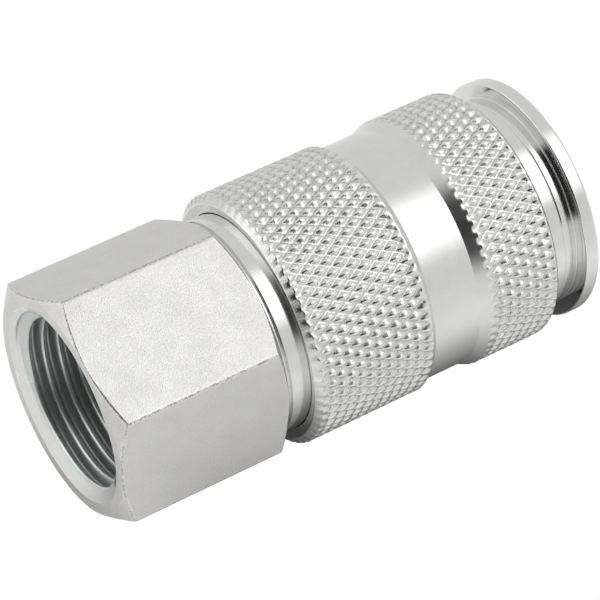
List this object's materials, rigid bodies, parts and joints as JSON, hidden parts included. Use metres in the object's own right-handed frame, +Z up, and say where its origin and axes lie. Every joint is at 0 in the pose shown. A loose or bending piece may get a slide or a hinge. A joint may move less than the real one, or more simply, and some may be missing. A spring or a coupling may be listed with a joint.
{
  "type": "quick disconnect coupler",
  "caption": "Straight compressed-air coupler with a hex threaded inlet, a knurled spring-loaded release sleeve, a ball lock and a flanged plug socket.",
  "frame": {"origin": "on the coupler's axis, where the inlet's lead-in ends and its thread begins, 1.864 mm inside the flat inlet face", "axes": "+X along the coupler's axis from the inlet to the nose, +Z up with the coupler lying on its side, two hex corners on +Z and -Z"},
  "size_m": [0.0592, 0.0288, 0.0288],
  "materials": {
    "zinc_plated_steel": "bright zinc plating, satin on the flats and polished on turned faces",
    "knurled_steel": "bright zinc plating over a diamond knurl",
    "spring_steel": "drawn spring wire and strip",
    "ball_steel": "polished bearing balls",
    "seal_rubber": "moulded nitrile",
    "valve_brass": "turned"
  },
  "bodies": {
    "housing": {"inlet_adaptor": "zinc_plated_steel", "nose_body": "zinc_plated_steel", "sleeve_spring": "spring_steel", "valve_spring": "spring_steel", "spring_retainer": "valve_brass", "seat_insert": "valve_brass", "seat_snap_ring": "spring_steel", "plug_seal": "seal_rubber", "joint_seal": "seal_rubber"},
    "washer": {"thrust_washer": "spring_steel"},
    "sleeve": {"release_sleeve": "knurled_steel"},
    "poppet": {"valve_poppet": "valve_brass", "valve_seal": "seal_rubber"},
    "ball_1": {"locking_ball_1": "ball_steel"},
    "ball_2": {"locking_ball_2": "ball_steel"},
    "ball_3": {"locking_ball_3": "ball_steel"},
    "ball_4": {"locking_ball_4": "ball_steel"},
    "ball_5": {"locking_ball_5": "ball_steel"},
    "ball_6": {"locking_ball_6": "ball_steel"},
    "ball_7": {"locking_ball_7": "ball_steel"},
    "ball_8": {"locking_ball_8": "ball_steel"}
  },
  "joints": [
    {"name": "sleeve_slide", "type": "slide", "parent": "housing", "child": "washer", "axis": [1, 0, 0], "range_m": [-0.0026, 0], "stiffness_N_per_m": 2500, "springref_m": 0.0048, "deforming": ["sleeve_spring"]},
    {"name": "sleeve_spin", "type": "hinge", "parent": "washer", "child": "sleeve", "pos_m": [0.03614, 0, 0], "axis": [1, 0, 0], "continuous": true},
    {"name": "poppet_slide", "type": "slide", "parent": "housing", "child": "poppet", "axis": [1, 0, 0], "range_m": [-0.003, 0], "stiffness_N_per_m": 800, "springref_m": 0.004, "deforming": ["valve_spring"]},
    {"name": "ball_1_lift", "type": "slide", "parent": "housing", "child": "ball_1", "axis": [0, 0, 1], "range_m": [0, 0.0009]},
    {"name": "ball_2_lift", "type": "slide", "parent": "housing", "child": "ball_2", "axis": [0, -0.7071, 0.7071], "range_m": [0, 0.0009]},
    {"name": "ball_3_lift", "type": "slide", "parent": "housing", "child": "ball_3", "axis": [0, -1, 0], "range_m": [0, 0.0009]},
    {"name": "ball_4_lift", "type": "slide", "parent": "housing", "child": "ball_4", "axis": [0, -0.7071, -0.7071], "range_m": [0, 0.0009]},
    {"name": "ball_5_lift", "type": "slide", "parent": "housing", "child": "ball_5", "axis": [0, 0, -1], "range_m": [0, 0.0009]},
    {"name": "ball_6_lift", "type": "slide", "parent": "housing", "child": "ball_6", "axis": [0, 0.7071, -0.7071], "range_m": [0, 0.0009]},
    {"name": "ball_7_lift", "type": "slide", "parent": "housing", "child": "ball_7", "axis": [0, 1, 0], "range_m": [0, 0.0009]},
    {"name": "ball_8_lift", "type": "slide", "parent": "housing", "child": "ball_8", "axis": [0, 0.7071, 0.7071], "range_m": [0, 0.0009]}
  ],
  "couplings": [
    {"joint": "ball_1_lift", "follows": "sleeve_slide", "ratio": -0.34615},
    {"joint": "ball_2_lift", "follows": "sleeve_slide", "ratio": -0.34615},
    {"joint": "ball_3_lift", "follows": "sleeve_slide", "ratio": -0.34615},
    {"joint": "ball_4_lift", "follows": "sleeve_slide", "ratio": -0.34615},
    {"joint": "ball_5_lift", "follows": "sleeve_slide", "ratio": -0.34615},
    {"joint": "ball_6_lift", "follows": "sleeve_slide", "ratio": -0.34615},
    {"joint": "ball_7_lift", "follows": "sleeve_slide", "ratio": -0.34615},
    {"joint": "ball_8_lift", "follows": "sleeve_slide", "ratio": -0.34615}
  ]
}
